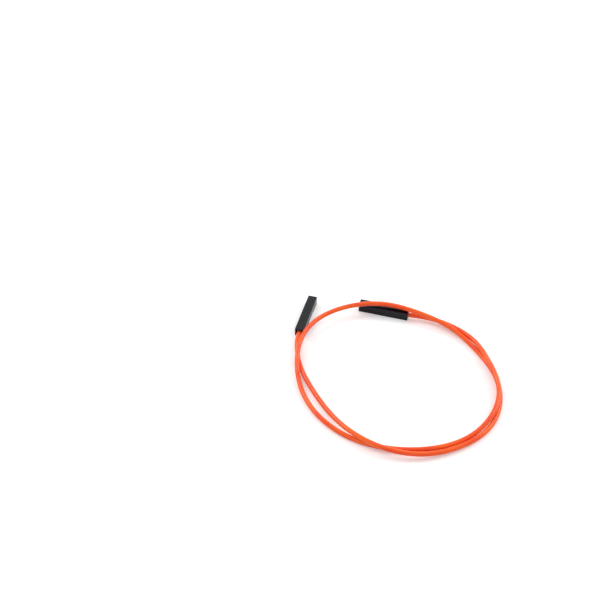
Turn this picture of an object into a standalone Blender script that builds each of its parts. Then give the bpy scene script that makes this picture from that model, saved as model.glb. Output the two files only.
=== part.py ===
"""Breadboard jumper wire with a single-pin socket housing on each end.

A red PVC wire lies in one and four fifths turns between two black housings.
Each housing is moulded with a pin hole, a terminal chamber and a latch tongue,
and holds a stamped and folded socket terminal crimped to the stripped strands.
Units are metres and +Z is up. The housings and the wire lie on z = 0.

A connector's own axes: +X from its mating face to its wire end, +Z out of the
side with the latch, and the wire's centre line on Y = Z = 0.
"""

import math

import bmesh
import bpy
import numpy as np
from mathutils import Matrix, Vector

# Wire
WIRE_DIAMETER = 0.00130
STRAND_COUNT = 7
STRAND_DIAMETER = 0.00016
STRAND_GAP = 0.00003
STRAND_LAY = 0.0100
STRIPPED_LENGTH = 0.00325
WIRE_STATIONS = 84
FLOOR_CLEARANCE = 0.00003

# Housing
HOUSING_LENGTH = 0.0140
HOUSING_WIDTH = 0.00250
EDGE_RADIUS = 0.00010
FRONT_WALL = 0.00050
PIN_HOLE = 0.00095
LEAD_IN = 0.00028
MOUTH_CHAMFER = 0.00012
SLIDE_CLEARANCE = 0.00003

# Latch recess, its opening and its tongue
RECESS_START = 0.0037
RECESS_LENGTH = 0.0054
RECESS_DEPTH = 0.00042
RECESS_SLOPE = 0.00035
OPENING_START = 0.00395
TONGUE_WIDTH = 0.00120
TONGUE_LENGTH = 0.00385
TONGUE_CROWN = 0.00020
NIB_LENGTH = 0.0010
LATCH_GAP = 0.00008

# Terminal, stamped from sheet
SHEET = 0.00020
BOX_WIDTH = 0.00180
BOX_HEIGHT = 0.00144
BEND_RADIUS = 0.00020
SEAM = 0.00006
FRONT_GAP = 0.00005
HOOD_LENGTH = 0.0042
CHANNEL_LENGTH = 0.00215
CHANNEL_HEIGHT = 0.00102
NECK_LENGTH = 0.00080
FLOOR_STEP = 0.00012
CONDUCTOR_CRIMP_LENGTH = 0.0020
WAIST_LENGTH = 0.0011
INSULATION_CRIMP_LENGTH = 0.0021
INSULATION_LEAD = 0.0002
TAB_LENGTH = 0.00015
CRIMP_GAP = 0.00002

# Contact leaf, cut from the floor of the hood and bowed up to the pin
LEAF_WIDTH = 0.00044
LEAF_SLOT = 0.00014
LEAF_START = 0.00060
LEAF_END = 0.0037
LEAF_RISE = 0.00042

# Where each connector lies: centre of its mating face, heading and latch side
FACE_A = (-0.0110, 0.0067)
HEADING_A = -106.0
ROLL_A = 180.0
FACE_B = (0.0022, 0.0043)
HEADING_B = -16.0
ROLL_B = -90.0

# The wire's route from connector A to connector B: x, y and lift, the height
# of its centre line above where it lies when it rests on the floor
ROUTE = [
    (-0.0154, -0.0100, 0.00060),
    (-0.0150, -0.0165, 0.00010),
    (-0.0120, -0.0257, 0.00005),
    (-0.0075, -0.0344, 0.00020),
    (-0.0017, -0.0423, 0.00120),
    (0.0064, -0.0476, 0.00130),
    (0.0160, -0.0489, 0.00060),
    (0.0253, -0.0462, 0.00020),
    (0.0331, -0.0404, 0.00005),
    (0.0372, -0.0316, 0.00005),
    (0.0370, -0.0219, 0.00010),
    (0.0332, -0.0129, 0.00010),
    (0.0271, -0.0054, 0.00100),
    (0.0187, -0.0007, 0.00220),
    (0.0094, 0.0022, 0.00290),
    (-0.0004, 0.0021, 0.00240),
    (-0.0090, -0.0021, 0.00200),
    (-0.0142, -0.0103, 0.00210),
    (-0.0154, -0.0199, 0.00100),
    (-0.0135, -0.0294, 0.00015),
    (-0.0085, -0.0378, 0.00005),
    (-0.0009, -0.0438, 0.00000),
    (0.0084, -0.0468, 0.00010),
    (0.0182, -0.0468, 0.00020),
    (0.0273, -0.0435, 0.00020),
    (0.0342, -0.0369, 0.00095),
    (0.0372, -0.0277, 0.00150),
    (0.0356, -0.0181, 0.00170),
    (0.0322, -0.0090, 0.00080),
    (0.0250, -0.0025, 0.00040),
    (0.0200, -0.0004, 0.00040),
]

# Sizes that follow from the ones above
wire_radius = WIRE_DIAMETER / 2
half_sheet = SHEET / 2
strand_pitch = STRAND_DIAMETER + STRAND_GAP
bundle_radius = strand_pitch + STRAND_DIAMETER / 2

floor_inside = -(wire_radius + CRIMP_GAP)
floor_mid = floor_inside - half_sheet
floor_outside = floor_inside - SHEET
hood_top = floor_outside + BOX_HEIGHT
insulation_crimp_radius = wire_radius + CRIMP_GAP + half_sheet
conductor_crimp_radius = bundle_radius + CRIMP_GAP + half_sheet
bundle_height = floor_inside + FLOOR_STEP + CRIMP_GAP + bundle_radius

hood_start = FRONT_WALL + FRONT_GAP
hood_end = hood_start + HOOD_LENGTH
channel_end = hood_end + CHANNEL_LENGTH
conductor_start = channel_end + NECK_LENGTH
conductor_end = conductor_start + CONDUCTOR_CRIMP_LENGTH
insulation_start = conductor_end + WAIST_LENGTH
insulation_end = insulation_start + INSULATION_CRIMP_LENGTH
wire_start = insulation_start - INSULATION_LEAD
strand_end = wire_start - STRIPPED_LENGTH

half_width = HOUSING_WIDTH / 2
chamber_half = max(BOX_WIDTH / 2, insulation_crimp_radius + half_sheet) + SLIDE_CLEARANCE
chamber_floor = floor_outside - SLIDE_CLEARANCE
chamber_roof = hood_top + SLIDE_CLEARANCE
rear_roof = insulation_crimp_radius + half_sheet + SLIDE_CLEARANCE
recess_floor = half_width - RECESS_DEPTH
recess_end = RECESS_START + RECESS_LENGTH
tongue_tip = hood_end + LATCH_GAP
tongue_root = tongue_tip + TONGUE_LENGTH
rear_start = max(recess_end, tongue_root) + RECESS_SLOPE


def clear_scene():
    """Removes every object of the scene."""
    for obj in list(bpy.data.objects):
        bpy.data.objects.remove(obj, do_unlink=True)


def make_material(name, colour, roughness, metallic=0.0):
    """A Principled material of one colour."""
    material = bpy.data.materials.new(name)
    material.use_nodes = True
    shader = material.node_tree.nodes["Principled BSDF"]
    shader.inputs["Base Color"].default_value = (*colour, 1.0)
    shader.inputs["Roughness"].default_value = roughness
    shader.inputs["Metallic"].default_value = metallic
    material.diffuse_color = (*colour, 1.0)
    return material


def add_object(name, data, parent=None, material=None):
    """Links an object under its parent, with its material in its first slot."""
    obj = bpy.data.objects.new(name, data)
    bpy.context.scene.collection.objects.link(obj)
    obj.parent = parent
    if material is not None:
        data.materials.append(material)
    return obj


def mesh_from(bm, name):
    """Turns a bmesh into a mesh with its faces pointing out."""
    bmesh.ops.recalc_face_normals(bm, faces=bm.faces)
    mesh = bpy.data.meshes.new(name)
    bm.to_mesh(mesh)
    bm.free()
    return mesh


# Housing


def box_mesh(name, low, high):
    """A closed box between two corners."""
    bm = bmesh.new()
    bmesh.ops.create_cube(bm, size=1.0)
    size = [top - bottom for bottom, top in zip(low, high)]
    middle = [(top + bottom) / 2 for bottom, top in zip(low, high)]
    bmesh.ops.scale(bm, vec=size, verts=bm.verts)
    bmesh.ops.translate(bm, vec=middle, verts=bm.verts)
    return mesh_from(bm, name)


def prism_mesh(name, outline, width):
    """An outline in X and Z, drawn out along Y about the middle plane."""
    bm = bmesh.new()
    corners = [bm.verts.new((x, -width / 2, z)) for x, z in outline]
    side = bm.faces.new(corners)
    drawn = bmesh.ops.extrude_face_region(bm, geom=[side])
    moved = [item for item in drawn["geom"] if isinstance(item, bmesh.types.BMVert)]
    bmesh.ops.translate(bm, vec=(0.0, width, 0.0), verts=moved)
    return mesh_from(bm, name)


def funnel_mesh(name, near, near_half, far, far_half, low_shift=0.0):
    """A square funnel along X, from one half width to another."""
    bm = bmesh.new()
    bmesh.ops.create_cube(bm, size=2.0)
    for vert in bm.verts:
        at_near = vert.co.x < 0
        half = near_half if at_near else far_half
        vert.co.x = near if at_near else far
        vert.co.y *= half
        vert.co.z = vert.co.z * half + low_shift
    return mesh_from(bm, name)


def add_boolean(obj, tool, operation):
    """Cuts or joins one closed mesh with another."""
    tool.hide_render = True
    tool.display_type = "WIRE"
    modifier = obj.modifiers.new(tool.name, "BOOLEAN")
    modifier.operation = operation
    modifier.solver = "EXACT"
    modifier.object = tool


def housing_body(name):
    """The square moulded block with softened edges."""
    bm = bmesh.new()
    bmesh.ops.create_cube(bm, size=1.0)
    bmesh.ops.scale(bm, vec=(HOUSING_LENGTH, HOUSING_WIDTH, HOUSING_WIDTH), verts=bm.verts)
    bmesh.ops.translate(bm, vec=(HOUSING_LENGTH / 2, 0.0, 0.0), verts=bm.verts)
    bmesh.ops.bevel(
        bm, geom=bm.edges, offset=EDGE_RADIUS, segments=2, profile=0.5, affect="EDGES"
    )
    return mesh_from(bm, name)


def tongue_outline():
    """Side view of the latch tongue, from its root in the wall to its nib."""
    crown = recess_floor + TONGUE_CROWN
    nib_bottom = hood_top - SHEET - CRIMP_GAP
    rooted = rear_start - RECESS_SLOPE / 2
    shoulder = tongue_root - TONGUE_LENGTH / 3
    return [
        (rooted, chamber_roof),
        (tongue_tip + 2 * NIB_LENGTH, chamber_roof),
        (tongue_tip + NIB_LENGTH / 3, nib_bottom),
        (tongue_tip, nib_bottom),
        (tongue_tip, recess_floor - RECESS_SLOPE / 3),
        (tongue_tip + NIB_LENGTH / 2, crown),
        (shoulder, crown),
        (tongue_root, recess_floor),
        (rooted, recess_floor),
    ]


def recess_outline():
    """Side view of the shallow recess in the latch side, with sloped ends."""
    above = half_width + RECESS_DEPTH
    run = 2 * RECESS_SLOPE
    return [
        (RECESS_START - RECESS_SLOPE, above),
        (RECESS_START + RECESS_SLOPE, recess_floor),
        (recess_end - run, recess_floor),
        (recess_end + RECESS_SLOPE * 1.5, above),
    ]


def add_housing(name, parent, material):
    """One moulded socket housing, open to its pin hole, chamber and latch."""
    housing = add_object(name, housing_body(name), parent, material)
    over = EDGE_RADIUS
    wide = HOUSING_WIDTH + 2 * over
    lead_half = PIN_HOLE / 2 + LEAD_IN
    rear_middle = (rear_roof + chamber_floor) / 2
    rear_half = (rear_roof - chamber_floor) / 2
    mouth_grow = MOUTH_CHAMFER + over
    cutters = {
        "recess": prism_mesh("recess", recess_outline(), wide),
        "chamber": box_mesh(
            "chamber",
            (FRONT_WALL, -chamber_half, chamber_floor),
            (rear_start + over, chamber_half, chamber_roof),
        ),
        "rear_chamber": box_mesh(
            "rear_chamber",
            (rear_start, -chamber_half, chamber_floor),
            (HOUSING_LENGTH + over, chamber_half, rear_roof),
        ),
        "mouth": funnel_mesh(
            "mouth",
            HOUSING_LENGTH - MOUTH_CHAMFER,
            rear_half,
            HOUSING_LENGTH + over,
            rear_half + mouth_grow,
            rear_middle,
        ),
        "pin_hole": box_mesh(
            "pin_hole",
            (-over, -PIN_HOLE / 2, -PIN_HOLE / 2),
            (FRONT_WALL + over, PIN_HOLE / 2, PIN_HOLE / 2),
        ),
        "lead_in": funnel_mesh(
            "lead_in", -over, lead_half + over, LEAD_IN, PIN_HOLE / 2
        ),
        "latch_opening": box_mesh(
            "latch_opening",
            (OPENING_START, -chamber_half, chamber_roof - over),
            (tongue_root, chamber_half, half_width + over),
        ),
    }
    for kind, mesh in cutters.items():
        cutter = add_object(f"{name}_{kind}", mesh, parent)
        add_boolean(housing, cutter, "DIFFERENCE")
    tongue_mesh = prism_mesh("tongue", tongue_outline(), TONGUE_WIDTH)
    tongue = add_object(f"{name}_tongue", tongue_mesh, parent)
    add_boolean(housing, tongue, "UNION")
    return housing


# Terminal


def arc(centre, radius, start, end, steps):
    """Points on an arc in Y and Z; angles in degrees, 0 along +Y."""
    angles = np.radians(np.linspace(start, end, steps + 1))
    return [
        (centre[0] + radius * math.cos(angle), centre[1] + radius * math.sin(angle))
        for angle in angles
    ]


def box_profile():
    """Right half of the hood, in the middle of the sheet, from floor to seam."""
    side = BOX_WIDTH / 2 - half_sheet
    roof = hood_top - half_sheet
    channel_top = floor_outside + CHANNEL_HEIGHT
    corner = side - BEND_RADIUS
    leaf_half = LEAF_WIDTH / 2
    return [
        (0.0, floor_mid),
        (leaf_half, floor_mid),
        (leaf_half + LEAF_SLOT, floor_mid),
        *arc((corner, floor_mid + BEND_RADIUS), BEND_RADIUS, -90, 0, 3),
        (side, channel_top),
        *arc((corner, roof - BEND_RADIUS), BEND_RADIUS, 0, 90, 3),
        (SEAM / 2, roof),
    ]


def conductor_profile():
    """Right half of the crimp on the strands: a round floor and a wing whose end
    curls over and points down on the strands, beside the other wing's."""
    radius = conductor_crimp_radius
    curl_radius = (radius - half_sheet - SEAM / 2) / 2
    curl_height = bundle_height + bundle_radius + CRIMP_GAP
    return [
        *arc((0.0, bundle_height), radius, -90, 0, 6),
        *arc((radius - curl_radius, curl_height), curl_radius, 0, 180, 6),
    ]


def insulation_profile():
    """Right half of the crimp that wraps the insulation."""
    half_gap = math.degrees(SEAM / 2 / insulation_crimp_radius)
    return arc((0.0, 0.0), insulation_crimp_radius, -90, 90 - half_gap, 14)


def blend_profiles(first, second, share):
    """Points part of the way from one profile to another."""
    count = min(len(first), len(second))
    return [
        tuple(a + (b - a) * share for a, b in zip(first[i], second[i]))
        for i in range(count)
    ]


def ease(share):
    """A share from 0 to 1 that starts and ends gently."""
    return share * share * (3 - 2 * share)


def terminal_rows():
    """Stations of the folded sheet: x, right-half profile, and how many of its
    points the strip to the next station keeps."""
    box = box_profile()
    conductor = conductor_profile()
    insulation = insulation_profile()
    channel_keep = 7
    neck_keep = 6
    waist_keep = 6
    tab_keep = 3
    rows = []
    leaf_start = hood_start + LEAF_START
    leaf_end = hood_start + LEAF_END
    hood_stations = [hood_start, leaf_start - LEAF_SLOT]
    hood_stations += list(np.linspace(leaf_start, leaf_end, 9))
    rows += [(x, box, len(box)) for x in hood_stations]
    rows += [(x, box, channel_keep) for x in (hood_end, channel_end - NECK_LENGTH)]
    for step in range(4):
        share = step / 4
        x = channel_end + share * NECK_LENGTH
        rows.append((x, blend_profiles(box, conductor, ease(share)), neck_keep))
    middle = (conductor_start + conductor_end) / 2
    rows += [(x, conductor, len(conductor)) for x in (conductor_start, middle)]
    rows.append((conductor_end, conductor, waist_keep))
    for step in range(1, 4):
        share = step / 4
        x = conductor_end + share * WAIST_LENGTH
        rows.append((x, blend_profiles(conductor, insulation, ease(share)), waist_keep))
    middle = (insulation_start + insulation_end) / 2
    rows += [(x, insulation, len(insulation)) for x in (insulation_start, middle)]
    rows.append((insulation_end, insulation, tab_keep))
    rows.append((insulation_end + TAB_LENGTH, insulation, 0))
    return rows


def leaf_height(x):
    """How far the contact leaf stands above the floor of the hood."""
    start = hood_start + LEAF_START
    end = hood_start + LEAF_END
    share = (x - start) / (end - start)
    return LEAF_RISE * math.sin(math.pi * (0.18 + 0.82 * share)) ** 1.3


def add_terminal(name, parent, material):
    """A socket terminal: one strip of sheet, folded station by station."""
    rows = terminal_rows()
    bm = bmesh.new()
    stations = []
    for index, (x, profile, keep) in enumerate(rows):
        needed = max(keep, rows[index - 1][2] if index else 0)
        right = [bm.verts.new((x, y, z)) for y, z in profile[:needed]]
        left = [bm.verts.new((x, -y, z)) for y, z in profile[1:needed]]
        stations.append(left[::-1] + right)
    for (x, profile, keep), near, far in zip(rows, stations, stations[1:]):
        strips = []
        for chain in (near, far):
            middle = len(chain) // 2
            kept = chain[middle - keep + 1 : middle + keep]
            for a, b in zip(kept, kept[1:]):
                edge = bm.edges.get((a, b)) or bm.edges.new((a, b))
                strips.append(edge)
        bmesh.ops.bridge_loops(bm, edges=strips)
    cut_leaf(bm)
    mesh = mesh_from(bm, name)
    terminal = add_object(name, mesh, parent, material)
    solidify = terminal.modifiers.new("sheet", "SOLIDIFY")
    solidify.thickness = SHEET
    solidify.offset = 0.0
    solidify.use_even_offset = True
    return terminal


def cut_leaf(bm):
    """Slots the hood's floor round the contact leaf and bows the leaf up."""
    start = hood_start + LEAF_START
    end = hood_start + LEAF_END
    leaf_half = LEAF_WIDTH / 2
    slot_end = leaf_half + LEAF_SLOT
    lowest = floor_mid + BEND_RADIUS / 2
    cut = []
    for face in bm.faces:
        middle = face.calc_center_median()
        if middle.z > lowest or not start - LEAF_SLOT < middle.x < end:
            continue
        beside = leaf_half < abs(middle.y) < slot_end
        ahead = middle.x < start and abs(middle.y) < slot_end
        if beside or ahead:
            cut.append(face)
    bmesh.ops.delete(bm, geom=cut, context="FACES")
    margin = LEAF_SLOT / 4
    for vert in bm.verts:
        inside = start - margin < vert.co.x < end - margin
        if inside and abs(vert.co.y) < leaf_half + margin and vert.co.z < lowest:
            vert.co.z += leaf_height(vert.co.x)


# Strands and wire


def add_tube(name, points, radius, sides_step, material, parent=None):
    """A round rod with closed ends along a row of points."""
    curve = bpy.data.curves.new(name, "CURVE")
    curve.dimensions = "3D"
    curve.bevel_depth = radius
    curve.bevel_resolution = sides_step
    curve.use_fill_caps = True
    spline = curve.splines.new("POLY")
    spline.points.add(len(points) - 1)
    for point, place in zip(spline.points, points):
        point.co = (*place, 1.0)
    return add_object(name, curve, parent, material)


def bundle_line(x):
    """Height of the bundle's middle: level in the wire, lower in the crimp."""
    level = wire_start - INSULATION_LEAD
    crimp = conductor_end - INSULATION_LEAD / 2
    share = min(max((level - x) / (level - crimp), 0.0), 1.0)
    return bundle_height * ease(share)


def add_strands(name, parent, material):
    """The bare strands: one in the middle and the rest wound round it."""
    around = STRAND_COUNT - 1
    ring = strand_pitch
    if around > 6:
        ring = strand_pitch / (2 * math.sin(math.pi / around))
    dip = np.linspace(wire_start - CRIMP_GAP, conductor_end - INSULATION_LEAD, 7)
    run = np.linspace(conductor_end - INSULATION_LEAD, strand_end, 4)[1:]
    for number in range(STRAND_COUNT):
        points = []
        for x in (*dip, *run):
            turn = 2 * math.pi * ((number - 1) / around + x / STRAND_LAY)
            out = ring if number else 0.0
            y = out * math.cos(turn)
            z = bundle_line(x) + out * math.sin(turn)
            points.append((x, y, z))
        add_tube(f"{name}_{number + 1}", points, STRAND_DIAMETER / 2, 1, material, parent)


def smooth_curve(points, start_way, end_way, count):
    """Reads a cubic spline through the points at even steps along it. Its
    bends run on smoothly, and its two ends point along the given ways."""
    places = np.array(points)
    chords = np.linalg.norm(np.diff(places, axis=0), axis=1)
    matrix = np.eye(len(places))
    slopes = np.zeros_like(places)
    slopes[0] = start_way
    slopes[-1] = end_way
    for i in range(1, len(places) - 1):
        before, after = chords[i - 1], chords[i]
        matrix[i, i - 1 : i + 2] = after, 2 * (before + after), before
        rise_before = (places[i] - places[i - 1]) / before
        rise_after = (places[i + 1] - places[i]) / after
        slopes[i] = 3 * (after * rise_before + before * rise_after)
    slopes = np.linalg.solve(matrix, slopes)
    share = np.linspace(0, 1, 40, endpoint=False)[:, None]
    pieces = []
    for i, chord in enumerate(chords):
        pieces.append(
            places[i] * (1 + 2 * share) * (1 - share) ** 2
            + places[i + 1] * share**2 * (3 - 2 * share)
            + slopes[i] * chord * share * (1 - share) ** 2
            - slopes[i + 1] * chord * share**2 * (1 - share)
        )
    fine = np.vstack([*pieces, places[-1:]])
    run = np.concatenate([[0], np.cumsum(np.linalg.norm(np.diff(fine, axis=0), axis=1))])
    even = np.linspace(0, run[-1], count)
    return np.stack([np.interp(even, run, fine[:, k]) for k in range(3)], axis=1)


def wire_points(frame_a, frame_b):
    """The wire's centre line, from inside one housing to inside the other."""
    inside = Vector((wire_start, 0.0, 0.0))
    leaving = Vector((HOUSING_LENGTH, 0.0, 0.0))
    exit_a, exit_b = frame_a @ leaving, frame_b @ leaving
    way_a = (exit_a - frame_a @ inside).normalized()
    way_b = (frame_b @ inside - exit_b).normalized()
    lying = wire_radius + FLOOR_CLEARANCE
    route = [exit_a, *((x, y, lying + lift) for x, y, lift in ROUTE), exit_b]
    line = smooth_curve(route, way_a, way_b, WIRE_STATIONS)
    return [frame_a @ inside, *line, frame_b @ inside]


# Assembly


def connector_frame(face, heading, roll):
    """A connector's place: on the floor, turned to its heading and latch side."""
    turn = Matrix.Rotation(math.radians(heading), 4, "Z")
    tip_over = Matrix.Rotation(math.radians(roll), 4, "X")
    return Matrix.Translation((*face, half_width)) @ turn @ tip_over


def add_connector(letter, frame, materials):
    """A housing with its terminal and the stripped strands in it."""
    empty = add_object(f"connector_{letter}", None)
    empty.matrix_world = frame
    add_housing(f"housing_{letter}", empty, materials["housing"])
    add_terminal(f"terminal_{letter}", empty, materials["terminal"])
    add_strands(f"strand_{letter}", empty, materials["strand"])


def main():
    """Builds the whole jumper wire."""
    clear_scene()
    materials = {
        "housing": make_material("housing_plastic", (0.02, 0.021, 0.025), 0.45),
        "terminal": make_material("terminal_metal", (0.78, 0.76, 0.72), 0.25, 1.0),
        "strand": make_material("strand_copper", (0.80, 0.45, 0.30), 0.35, 1.0),
        "insulation": make_material("insulation_pvc", (0.90, 0.10, 0.02), 0.40),
    }
    frame_a = connector_frame(FACE_A, HEADING_A, ROLL_A)
    frame_b = connector_frame(FACE_B, HEADING_B, ROLL_B)
    add_connector("a", frame_a, materials)
    add_connector("b", frame_b, materials)
    line = wire_points(frame_a, frame_b)
    add_tube("wire_insulation", line, wire_radius, 2, materials["insulation"])
    bpy.context.view_layer.update()


main()
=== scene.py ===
"""Dresses the breadboard jumper wire: its insulation, housings, terminals and
strands, laid on a pale studio floor under soft light."""

import math

import bmesh
import bpy
import numpy as np
from bpy.props import FloatProperty, FloatVectorProperty, IntProperty, PointerProperty
from bpy.types import Operator, Panel, PropertyGroup
from mathutils import Matrix, Vector


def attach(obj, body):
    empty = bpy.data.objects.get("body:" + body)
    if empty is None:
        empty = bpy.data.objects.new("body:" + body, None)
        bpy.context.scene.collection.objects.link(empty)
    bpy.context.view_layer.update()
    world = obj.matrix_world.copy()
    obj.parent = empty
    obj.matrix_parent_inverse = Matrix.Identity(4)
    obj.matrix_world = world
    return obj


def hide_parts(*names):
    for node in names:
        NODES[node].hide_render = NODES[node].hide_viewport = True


bl_info = {
    "name": "Jumper wire dressing",
    "version": (1, 0, 0),
    "blender": (4, 5, 0),
    "location": "3D View > Sidebar > Jumper Wire",
    "description": "Dresses a breadboard jumper wire and sets its studio stage",
    "category": "Object",
}

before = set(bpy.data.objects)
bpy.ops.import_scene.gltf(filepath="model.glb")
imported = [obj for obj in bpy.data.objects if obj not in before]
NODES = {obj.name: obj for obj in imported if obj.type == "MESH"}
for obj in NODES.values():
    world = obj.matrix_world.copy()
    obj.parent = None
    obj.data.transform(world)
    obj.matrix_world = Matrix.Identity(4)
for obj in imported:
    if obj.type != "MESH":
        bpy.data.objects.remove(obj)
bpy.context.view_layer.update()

MM = 0.001
LETTERS = ("a", "b")

# Where each connector lies: centre of its mating face and heading in degrees.
FACES = {"a": (-0.0110, 0.0067), "b": (0.0022, 0.0043)}
HEADINGS = {"a": -106.0, "b": -16.0}
HOUSING_LENGTH = 0.0140
HOUSING_WIDTH = 0.00250

# How deep the insulation reaches into a housing, measured from its wire end.
INSERTED = 0.00340
FLOOR_CLEARANCE = 0.00003

# The wire's route from connector A to connector B: x, y and the height of its
# centre line above where it lies when it rests on the floor.
ROUTE = [
    (-0.0154, -0.0100, 0.00060),
    (-0.0150, -0.0165, 0.00010),
    (-0.0120, -0.0257, 0.00005),
    (-0.0075, -0.0344, 0.00020),
    (-0.0017, -0.0423, 0.00120),
    (0.0064, -0.0476, 0.00130),
    (0.0160, -0.0489, 0.00060),
    (0.0253, -0.0462, 0.00020),
    (0.0331, -0.0404, 0.00005),
    (0.0372, -0.0316, 0.00005),
    (0.0370, -0.0219, 0.00010),
    (0.0332, -0.0129, 0.00010),
    (0.0271, -0.0054, 0.00100),
    (0.0187, -0.0007, 0.00220),
    (0.0094, 0.0022, 0.00290),
    (-0.0004, 0.0021, 0.00240),
    (-0.0090, -0.0021, 0.00200),
    (-0.0142, -0.0103, 0.00210),
    (-0.0154, -0.0199, 0.00100),
    (-0.0135, -0.0294, 0.00015),
    (-0.0085, -0.0378, 0.00005),
    (-0.0009, -0.0438, 0.00000),
    (0.0084, -0.0468, 0.00010),
    (0.0182, -0.0468, 0.00020),
    (0.0273, -0.0435, 0.00020),
    (0.0342, -0.0369, 0.00095),
    (0.0372, -0.0277, 0.00150),
    (0.0356, -0.0181, 0.00170),
    (0.0322, -0.0090, 0.00080),
    (0.0250, -0.0025, 0.00040),
    (0.0200, -0.0004, 0.00040),
]


def length_property(name, description, default, low, high):
    """A length in metres that a user may change."""
    return FloatProperty(
        name=name,
        description=description,
        default=default,
        min=low,
        max=high,
        unit="LENGTH",
        precision=5,
    )


def colour_property(name, description, default):
    """A colour in linear light that a user may change."""
    return FloatVectorProperty(
        name=name,
        description=description,
        default=default,
        min=0.0,
        max=1.0,
        size=3,
        subtype="COLOR",
    )


def share_property(name, description, default, high=1.0):
    """A plain number between nothing and its upper limit."""
    return FloatProperty(
        name=name,
        description=description,
        default=default,
        min=0.0,
        max=high,
        subtype="FACTOR",
    )


class WireLook(PropertyGroup):
    """Sizes and colours of the insulated wire."""

    diameter: length_property(
        "Diameter", "Outer diameter of the insulation", 0.0013, 0.0008, 0.0020
    )
    ring_step: length_property(
        "Ring step", "Distance between the rings of the mesh", 0.0003, 0.0001, 0.0010
    )
    sides: IntProperty(
        name="Sides", description="Faces round the wire", default=24, min=12, max=48
    )
    lay: length_property(
        "Lay", "Length in which the strands go once round", 0.0100, 0.0040, 0.0300
    )
    ridge: share_property(
        "Ridge", "How far the strands show through, as a share of the radius", 0.012
    )
    colour: colour_property(
        "Colour", "Colour of the insulation", (0.95, 0.136, 0.011)
    )
    deep_colour: colour_property(
        "Deep colour", "Colour where the pigment is denser", (0.86, 0.060, 0.003)
    )
    roughness: share_property("Roughness", "Roughness of the insulation", 0.24)


class HousingLook(PropertyGroup):
    """Finish of the moulded housings."""

    colour: colour_property(
        "Colour", "Colour of the moulded plastic", (0.0020, 0.0024, 0.0060)
    )
    worn_colour: colour_property(
        "Worn colour", "Colour of rubbed corners", (0.012, 0.0125, 0.0145)
    )
    roughness: share_property("Roughness", "Roughness of the plastic", 0.20)
    edge: length_property(
        "Edge", "Rounding of the moulded edges", 0.00003, 0.00001, 0.00004
    )


class MetalLook(PropertyGroup):
    """Finish of the terminals and the strands."""

    tin: colour_property("Tin", "Colour of the plated terminal", (0.74, 0.72, 0.68))
    tarnish: colour_property(
        "Tarnish", "Colour of the plating where it has dulled", (0.52, 0.47, 0.38)
    )
    copper: colour_property("Copper", "Colour of the strands", (0.83, 0.46, 0.30))
    oxide: colour_property(
        "Oxide", "Colour of the strands where they have darkened", (0.42, 0.19, 0.10)
    )
    roughness: share_property("Roughness", "Roughness of the plating", 0.28)


class StageLook(PropertyGroup):
    """Camera, floor and light."""

    centre_x: length_property(
        "Centre X", "Floor point in the middle of the picture", -0.01463, -1.0, 1.0
    )
    centre_y: length_property(
        "Centre Y", "Floor point in the middle of the picture", 0.00769, -1.0, 1.0
    )
    distance: length_property(
        "Distance", "From the camera to that floor point", 0.31735, 0.05, 5.0
    )
    elevation: FloatProperty(
        name="Elevation",
        description="Camera's angle above the floor",
        default=math.radians(43.66),
        subtype="ANGLE",
        unit="ROTATION",
    )
    lens: FloatProperty(
        name="Lens",
        description="Focal length in millimetres on a 36 mm sensor",
        default=66.78,
        min=10.0,
        max=300.0,
    )
    floor_colour: colour_property("Floor", "Colour of the floor", (0.90, 0.90, 0.90))
    sky: share_property("Sky", "Strength of the even light all round", 0.72, 2.0)
    key: FloatProperty(
        name="Key", description="Power of the lamp behind, in watts", default=0.36
    )
    side: FloatProperty(
        name="Side", description="Power of each lamp beside, in watts", default=1.4
    )


# Nodes and materials


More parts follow.
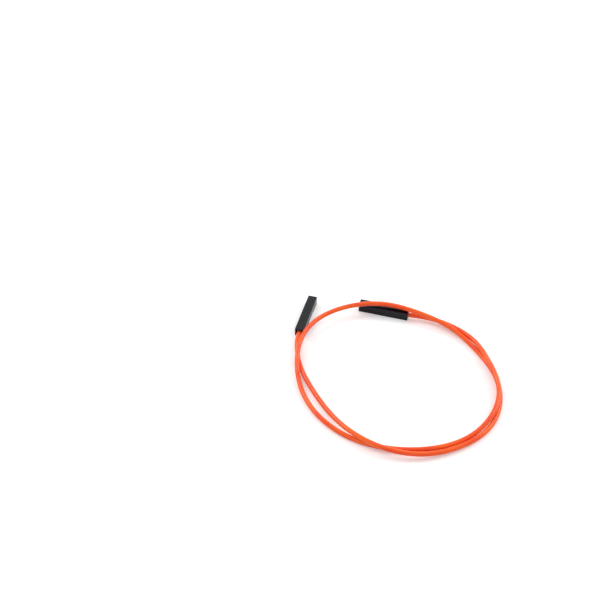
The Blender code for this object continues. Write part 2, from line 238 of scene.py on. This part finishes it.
class Finish:
    """A material in the making, with short calls for its nodes."""

    def __init__(self, name):
        self.material = bpy.data.materials.new(name)
        self.material.use_nodes = True
        self.tree = self.material.node_tree
        self.shader = self.tree.nodes["Principled BSDF"]

    def node(self, kind, **values):
        """Adds a node and sets its properties and its unlinked sockets."""
        node = self.tree.nodes.new(kind)
        for key, value in values.items():
            if key in node.inputs:
                node.inputs[key].default_value = value
            else:
                setattr(node, key, value)
        return node

    def link(self, output, socket):
        """Joins an output to a socket."""
        self.tree.links.new(output, socket)

    def place(self, scale, attribute=None):
        """Coordinates in units of 1 mm times a scale, of the object or of a
        vertex attribute that follows the surface."""
        mapping = self.node("ShaderNodeMapping")
        mapping.inputs["Scale"].default_value = [axis / MM for axis in scale]
        if attribute:
            source = self.node("ShaderNodeAttribute", attribute_name=attribute)
            self.link(source.outputs["Vector"], mapping.inputs["Vector"])
        else:
            source = self.node("ShaderNodeTexCoord")
            self.link(source.outputs["Object"], mapping.inputs["Vector"])
        return mapping.outputs["Vector"]

    def noise(self, scale, detail=2.0, roughness=0.5, attribute=None):
        """Smooth noise whose blobs are about 1 mm divided by the scale."""
        noise = self.node("ShaderNodeTexNoise")
        noise.inputs["Scale"].default_value = 1.0
        noise.inputs["Detail"].default_value = detail
        noise.inputs["Roughness"].default_value = roughness
        self.link(self.place(scale, attribute), noise.inputs["Vector"])
        return noise.outputs["Fac"]

    def spread(self, output, low, high, out_low=0.0, out_high=1.0):
        """Stretches one range of a value to another."""
        spread = self.node("ShaderNodeMapRange")
        spread.inputs["From Min"].default_value = low
        spread.inputs["From Max"].default_value = high
        spread.inputs["To Min"].default_value = out_low
        spread.inputs["To Max"].default_value = out_high
        self.link(output, spread.inputs["Value"])
        return spread.outputs["Result"]

    def sum(self, first, second, share):
        """Adds a share of one value to another."""
        adder = self.node("ShaderNodeMath", operation="MULTIPLY_ADD")
        adder.inputs[1].default_value = share
        self.link(second, adder.inputs[0])
        self.link(first, adder.inputs[2])
        return adder.outputs[0]

    def mix(self, factor, first, second):
        """Mixes two colours; each is a colour or a node's output."""
        mix = self.node("ShaderNodeMix", data_type="RGBA")
        self.link(factor, mix.inputs["Factor"])
        for socket, colour in ((mix.inputs[6], first), (mix.inputs[7], second)):
            if isinstance(colour, bpy.types.NodeSocket):
                self.link(colour, socket)
            else:
                socket.default_value = (*colour, 1.0)
        return mix.outputs[2]

    def bump(self, height, distance, strength=1.0):
        """Gives the surface small relief."""
        bump = self.node("ShaderNodeBump")
        bump.inputs["Distance"].default_value = distance
        bump.inputs["Strength"].default_value = strength
        self.link(height, bump.inputs["Height"])
        self.link(bump.outputs["Normal"], self.shader.inputs["Normal"])

    def set(self, socket, value):
        """Sets or links one of the shader's own sockets."""
        if isinstance(value, bpy.types.NodeSocket):
            self.link(value, self.shader.inputs[socket])
        else:
            self.shader.inputs[socket].default_value = value


def insulation_finish(look):
    """Soft PVC: even colour with faint lengthwise die lines and cloudy pigment."""
    finish = Finish("insulation_pvc")
    lines = finish.noise((5.0, 5.0, 0.12), 3.0, 0.6, "along_wire")
    clouds = finish.noise((0.5, 0.5, 0.16), 2.0, 0.5, "along_wire")
    grain = finish.noise((14.0, 14.0, 9.0), 2.0, 0.6, "along_wire")
    specks = finish.noise((4.0, 4.0, 2.2), 1.0, 0.4, "along_wire")
    pigment = finish.sum(clouds, lines, 0.5)
    factor = finish.spread(pigment, 0.55, 0.95)
    colour = finish.mix(factor, tuple(look.colour), tuple(look.deep_colour))
    dust = finish.spread(specks, 0.70, 0.78, 0.0, 0.25)
    dusty = tuple(0.55 * part + 0.35 for part in look.colour)
    finish.set("Base Color", finish.mix(dust, colour, dusty))
    rough = look.roughness
    finish.set("Roughness", finish.spread(grain, 0.3, 0.7, rough - 0.05, rough + 0.09))
    finish.set("Specular IOR Level", 0.34)
    finish.set("Sheen Weight", 0.12)
    finish.set("Sheen Roughness", 0.40)
    finish.set("Subsurface Weight", 0.06)
    finish.set("Subsurface Radius", (0.5, 0.08, 0.02))
    finish.set("Subsurface Scale", 0.0004)
    relief = finish.sum(lines, grain, 0.25)
    finish.bump(relief, 0.000010, 0.7)
    return finish.material


def housing_finish(look):
    """Moulded plastic with a fine eroded texture and rubbed patches scattered by noise."""
    finish = Finish("housing_plastic")
    texture = finish.noise((16.0, 16.0, 16.0), 3.0, 0.6)
    patches = finish.noise((0.7, 0.7, 0.7), 2.0, 0.5)
    scuffs = finish.noise((2.4, 2.4, 9.0), 3.0, 0.65)
    wear = finish.spread(scuffs, 0.60, 0.72, 0.0, 0.35)
    colour = finish.mix(wear, tuple(look.colour), tuple(look.worn_colour))
    finish.set("Base Color", colour)
    rough = look.roughness
    mottled = finish.sum(patches, texture, 0.4)
    finish.set("Roughness", finish.spread(mottled, 0.45, 1.0, rough - 0.05, rough + 0.12))
    finish.set("Specular IOR Level", 0.22)
    finish.bump(texture, 0.000006, 0.6)
    return finish.material


def metal_finish(name, look, bright, dull):
    """Drawn or stamped metal with fine lines and dulled patches."""
    finish = Finish(name)
    lines = finish.noise((9.0, 9.0, 40.0), 2.0, 0.6)
    patches = finish.noise((1.6, 1.6, 1.6), 3.0, 0.55)
    dulled = finish.spread(patches, 0.46, 0.72, 0.0, 0.75)
    finish.set("Base Color", finish.mix(dulled, tuple(bright), tuple(dull)))
    finish.set("Metallic", 1.0)
    rough = look.roughness
    worn = finish.sum(patches, lines, 0.5)
    finish.set("Roughness", finish.spread(worn, 0.4, 1.1, rough - 0.06, rough + 0.18))
    finish.bump(lines, 0.000003, 0.5)
    return finish.material


# Shapes


def link_object(name, data):
    """Adds an object at the origin to the scene."""
    obj = bpy.data.objects.new(name, data)
    bpy.context.scene.collection.objects.link(obj)
    return obj


def smooth_curve(points, start_way, end_way, step):
    """Reads a cubic spline through the points at even steps along it. Its
    bends run on smoothly, and its two ends point along the given ways."""
    places = np.array(points)
    chords = np.linalg.norm(np.diff(places, axis=0), axis=1)
    matrix = np.eye(len(places))
    slopes = np.zeros_like(places)
    slopes[0] = start_way
    slopes[-1] = end_way
    for i in range(1, len(places) - 1):
        before, after = chords[i - 1], chords[i]
        matrix[i, i - 1 : i + 2] = after, 2 * (before + after), before
        rise_before = (places[i] - places[i - 1]) / before
        rise_after = (places[i + 1] - places[i]) / after
        slopes[i] = 3 * (after * rise_before + before * rise_after)
    slopes = np.linalg.solve(matrix, slopes)
    share = np.linspace(0, 1, 60, endpoint=False)[:, None]
    pieces = []
    for i, chord in enumerate(chords):
        pieces.append(
            places[i] * (1 + 2 * share) * (1 - share) ** 2
            + places[i + 1] * share**2 * (3 - 2 * share)
            + slopes[i] * chord * share * (1 - share) ** 2
            - slopes[i + 1] * chord * share**2 * (1 - share)
        )
    fine = np.vstack([*pieces, places[-1:]])
    run = np.concatenate([[0], np.cumsum(np.linalg.norm(np.diff(fine, axis=0), axis=1))])
    even = np.linspace(0, run[-1], int(round(run[-1] / step)) + 1)
    return np.stack([np.interp(even, run, fine[:, k]) for k in range(3)], axis=1)


def wire_line(look):
    """The wire's centre line, from inside one housing to inside the other."""
    ways, exits = {}, {}
    for letter in LETTERS:
        heading = math.radians(HEADINGS[letter])
        way = np.array([math.cos(heading), math.sin(heading), 0.0])
        ways[letter] = way
        exits[letter] = np.array([*FACES[letter], HOUSING_WIDTH / 2]) + HOUSING_LENGTH * way
    lying = look.diameter / 2 + FLOOR_CLEARANCE
    route = [exits["a"], *((x, y, lying + lift) for x, y, lift in ROUTE), exits["b"]]
    outside = smooth_curve(route, ways["a"], -ways["b"], look.ring_step)
    inside = np.arange(look.ring_step, INSERTED, look.ring_step)[:, None]
    before = (exits["a"] - inside * ways["a"])[::-1]
    after = exits["b"] - inside * ways["b"]
    ends = [exits["a"] - INSERTED * ways["a"], exits["b"] - INSERTED * ways["b"]]
    line = np.vstack([ends[:1], before, outside, after, ends[1:]])
    return line, exits


def carried_axes(line):
    """Two axes across the line at each of its points, carried along it
    without turning about it."""
    along = np.gradient(line, axis=0)
    along /= np.linalg.norm(along, axis=1)[:, None]
    side = np.cross(along[0], (0.0, 0.0, 1.0))
    sides = []
    for way in along:
        side = side - way * side.dot(way)
        side /= np.linalg.norm(side)
        sides.append(side)
    sides = np.array(sides)
    return sides, np.cross(along, sides)


def rolled_sheet(name, line, look):
    """A flat grid rolled round the line into a closed tube. It keeps the grid's
    UV map, and an attribute holds where a point would be on a straight wire."""
    sides, ups = carried_axes(line)
    steps = np.linalg.norm(np.diff(line, axis=0), axis=1)
    run = np.concatenate([[0], np.cumsum(steps)])
    radius = look.diameter / 2
    bm = bmesh.new()
    bm.loops.layers.uv.new("UVMap")
    straight = bm.verts.layers.float_vector.new("along_wire")
    bmesh.ops.create_grid(
        bm, x_segments=look.sides, y_segments=len(line) - 1, size=1.0, calc_uvs=True
    )
    for vert in bm.verts:
        station = round((vert.co.y + 1) / 2 * (len(line) - 1))
        turn = math.pi * (vert.co.x + 1)
        ridge = math.cos(6 * (turn - 2 * math.pi * run[station] / look.lay))
        swell = math.sin(run[station] / 0.0041) * math.sin(run[station] / 0.0173)
        reach = radius * (1 - look.ridge * (1 - ridge) / 2 + 0.004 * swell)
        across = math.cos(turn) * sides[station] + math.sin(turn) * ups[station]
        vert.co = Vector(line[station] + reach * across)
        vert[straight] = (radius * math.cos(turn), radius * math.sin(turn), run[station])
    bmesh.ops.remove_doubles(bm, verts=bm.verts, dist=1e-7)
    rims = [edge for edge in bm.edges if edge.is_boundary]
    bmesh.ops.holes_fill(bm, edges=rims)
    bmesh.ops.recalc_face_normals(bm, faces=bm.faces)
    for face in bm.faces:
        face.smooth = len(face.verts) == 4
    mesh = bpy.data.meshes.new(name)
    bm.to_mesh(mesh)
    bm.free()
    return link_object(name, mesh)


def softened_copy(name, node, offset):
    """A merged copy of a CAD node, with its sharp edges rounded."""
    bm = bmesh.new()
    bm.from_mesh(NODES[node].data)
    bmesh.ops.remove_doubles(bm, verts=bm.verts, dist=2e-6)
    flat = math.radians(2.0)
    bmesh.ops.dissolve_limit(bm, angle_limit=flat, verts=bm.verts, edges=bm.edges)
    sharp = [edge for edge in bm.edges if edge.calc_face_angle(0.0) > math.radians(35.0)]
    rounded = bmesh.ops.bevel(
        bm,
        geom=sharp,
        offset=offset,
        offset_type="OFFSET",
        segments=2,
        profile=0.5,
        affect="EDGES",
        clamp_overlap=True,
        material=-1,
    )
    for face in rounded["faces"]:
        face.smooth = True
    mesh = bpy.data.meshes.new(name)
    bm.to_mesh(mesh)
    bm.free()
    return link_object(name, mesh)


def dressed(node, material):
    """Gives a carried-over CAD node its finish."""
    for material_slot in NODES[node].material_slots:
        material_slot.material = material


# Operators


class JUMPER_OT_camera(Operator):
    """Sets the camera at the photograph's viewing angle"""

    bl_idname = "jumper.camera"
    bl_label = "Camera"

    def execute(self, context):
        look = context.scene.jumper_stage
        camera = bpy.data.cameras.new("camera")
        camera.lens = look.lens
        camera.sensor_width = 36.0
        camera.clip_start = 0.01
        obj = link_object("camera", camera)
        back = Vector((0.0, -math.cos(look.elevation), math.sin(look.elevation)))
        obj.location = Vector((look.centre_x, look.centre_y, 0.0)) + look.distance * back
        obj.rotation_euler = (math.pi / 2 - look.elevation, 0.0, 0.0)
        context.scene.camera = obj
        return {"FINISHED"}


class JUMPER_OT_wire(Operator):
    """Makes the insulated wire as one long limp tube that lies in its turns"""

    bl_idname = "jumper.wire"
    bl_label = "Insulated wire"

    def execute(self, context):
        look = context.scene.jumper_wire
        line, exits = wire_line(look)
        wire = rolled_sheet("insulated_wire", line, look)
        wire.data.materials.append(insulation_finish(look))
        length = float(np.linalg.norm(np.diff(line, axis=0), axis=1).sum())
        if not math.isfinite(length):
            raise RuntimeError("the wire's route has a point that isn't a number")
        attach(wire, "root")
        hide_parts("wire_insulation")
        return {"FINISHED"}


class JUMPER_OT_housings(Operator):
    """Rounds the two moulded housings' edges and gives them their plastic"""

    bl_idname = "jumper.housings"
    bl_label = "Housings"

    def execute(self, context):
        look = context.scene.jumper_housing
        plastic = housing_finish(look)
        for letter in LETTERS:
            node = f"housing_{letter}"
            piece = softened_copy(f"moulded_{node}", node, look.edge)
            piece.data.materials.append(plastic)
            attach(piece, "root")
            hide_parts(node)
        return {"FINISHED"}


class JUMPER_OT_metal(Operator):
    """Gives the terminals their plating and the strands their copper"""

    bl_idname = "jumper.metal"
    bl_label = "Terminals and strands"

    def execute(self, context):
        look = context.scene.jumper_metal
        plated = metal_finish("terminal_metal", look, look.tin, look.tarnish)
        copper = metal_finish("strand_copper", look, look.copper, look.oxide)
        for node in NODES:
            if node.startswith("terminal_"):
                dressed(node, plated)
            if node.startswith("strand_"):
                dressed(node, copper)
        return {"FINISHED"}


def white_for_camera(tree, shader_output, glow):
    """Adds a glow that only camera, glossy and transmission rays see. The glow
    is a number or a node's output."""
    path = tree.nodes.new("ShaderNodeLightPath")
    emission = tree.nodes.new("ShaderNodeEmission")
    emission.inputs["Color"].default_value = (1.0, 1.0, 1.0, 1.0)
    seen = tree.nodes.new("ShaderNodeMath")
    seen.operation = "MAXIMUM"
    tree.links.new(path.outputs["Is Camera Ray"], seen.inputs[0])
    tree.links.new(path.outputs["Is Glossy Ray"], seen.inputs[1])
    both = tree.nodes.new("ShaderNodeMath")
    both.operation = "MAXIMUM"
    tree.links.new(seen.outputs[0], both.inputs[0])
    tree.links.new(path.outputs["Is Transmission Ray"], both.inputs[1])
    strength = tree.nodes.new("ShaderNodeMath")
    strength.operation = "MULTIPLY"
    if isinstance(glow, bpy.types.NodeSocket):
        tree.links.new(glow, strength.inputs[1])
    else:
        strength.inputs[1].default_value = glow
    tree.links.new(both.outputs[0], strength.inputs[0])
    tree.links.new(strength.outputs[0], emission.inputs["Strength"])
    add = tree.nodes.new("ShaderNodeAddShader")
    tree.links.new(shader_output, add.inputs[0])
    tree.links.new(emission.outputs[0], add.inputs[1])
    return add.outputs[0]


def add_lamp(name, watts, size, place, target):
    """A square soft lamp that points at a target."""
    lamp = bpy.data.lights.new(name, "AREA")
    lamp.energy = watts
    lamp.shape = "SQUARE"
    lamp.size = size
    obj = link_object(name, lamp)
    way = Vector(target) - Vector(place)
    turn = way.to_track_quat("-Z", "Y").to_matrix().to_4x4()
    obj.matrix_world = Matrix.Translation(place) @ turn


class JUMPER_OT_stage(Operator):
    """Lays the pale floor and sets the soft studio light"""

    bl_idname = "jumper.stage"
    bl_label = "Stage"

    def execute(self, context):
        look = context.scene.jumper_stage
        self.lay_floor(look)
        self.set_world(context.scene, look)
        middle = (0.011, -0.021, 0.0)
        add_lamp("key_lamp", look.key, 0.40, (0.01, 0.50, 0.50), middle)
        add_lamp("left_lamp", look.side, 0.30, (-0.42, 0.24, 0.43), middle)
        add_lamp("right_lamp", look.side, 0.30, (0.44, 0.24, 0.43), middle)
        view = context.scene.view_settings
        view.view_transform = "Standard"
        return {"FINISHED"}

    def lay_floor(self, look):
        """A wide plane under the object. Its glow grows where the lamps' light
        fades, so that it meets the sky without a line."""
        bm = bmesh.new()
        bmesh.ops.create_grid(bm, x_segments=1, y_segments=1, size=3.0)
        mesh = bpy.data.meshes.new("floor")
        bm.to_mesh(mesh)
        bm.free()
        floor = link_object("floor", mesh)
        finish = Finish("floor")
        finish.set("Base Color", (*look.floor_colour, 1.0))
        finish.set("Roughness", 0.8)
        finish.set("Specular IOR Level", 0.2)
        output = finish.tree.nodes["Material Output"]
        place = finish.node("ShaderNodeTexCoord")
        distance = finish.node("ShaderNodeVectorMath", operation="LENGTH")
        finish.link(place.outputs["Object"], distance.inputs[0])
        glow = finish.spread(distance.outputs["Value"], 0.08, 0.50, 0.20, 0.37)
        white = white_for_camera(finish.tree, finish.shader.outputs[0], glow)
        finish.link(white, output.inputs["Surface"])
        mesh.materials.append(finish.material)

    def set_world(self, scene, look):
        """Even light all round, white where the camera sees it."""
        world = bpy.data.worlds.new("studio")
        world.use_nodes = True
        scene.world = world
        tree = world.node_tree
        background = tree.nodes["Background"]
        background.inputs["Color"].default_value = (1.0, 1.0, 1.0, 1.0)
        background.inputs["Strength"].default_value = look.sky
        glow = white_for_camera(tree, background.outputs[0], 1.0 - look.sky)
        tree.links.new(glow, tree.nodes["World Output"].inputs["Surface"])


class JUMPER_PT_sidebar(Panel):
    """Lists the pieces and their looks in the sidebar"""

    bl_label = "Jumper Wire"
    bl_idname = "JUMPER_PT_sidebar"
    bl_space_type = "VIEW_3D"
    bl_region_type = "UI"
    bl_category = "Jumper Wire"

    def draw(self, context):
        scene = context.scene
        for operator, holder in STEPS:
            box = self.layout.box()
            box.operator(operator.bl_idname)
            look = getattr(scene, holder)
            for name in look.__annotations__:
                box.prop(look, name)


STEPS = (
    (JUMPER_OT_camera, "jumper_stage"),
    (JUMPER_OT_wire, "jumper_wire"),
    (JUMPER_OT_housings, "jumper_housing"),
    (JUMPER_OT_metal, "jumper_metal"),
    (JUMPER_OT_stage, "jumper_stage"),
)

LOOKS = {
    "jumper_wire": WireLook,
    "jumper_housing": HousingLook,
    "jumper_metal": MetalLook,
    "jumper_stage": StageLook,
}


def register():
    """Registers the classes and gives the scene its looks."""
    for look in LOOKS.values():
        bpy.utils.register_class(look)
    for operator, _ in STEPS:
        bpy.utils.register_class(operator)
    bpy.utils.register_class(JUMPER_PT_sidebar)
    for holder, look in LOOKS.items():
        setattr(bpy.types.Scene, holder, PointerProperty(type=look))


def unregister():
    """Takes the looks and classes away again."""
    for holder in LOOKS:
        delattr(bpy.types.Scene, holder)
    bpy.utils.unregister_class(JUMPER_PT_sidebar)
    for operator, _ in reversed(STEPS):
        bpy.utils.unregister_class(operator)
    for look in reversed(LOOKS.values()):
        bpy.utils.unregister_class(look)


def main():
    register()
    bpy.ops.jumper.camera()
    bpy.ops.jumper.wire()
    bpy.ops.jumper.housings()
    bpy.ops.jumper.metal()
    bpy.ops.jumper.stage()


if __name__ == "__main__":
    main()
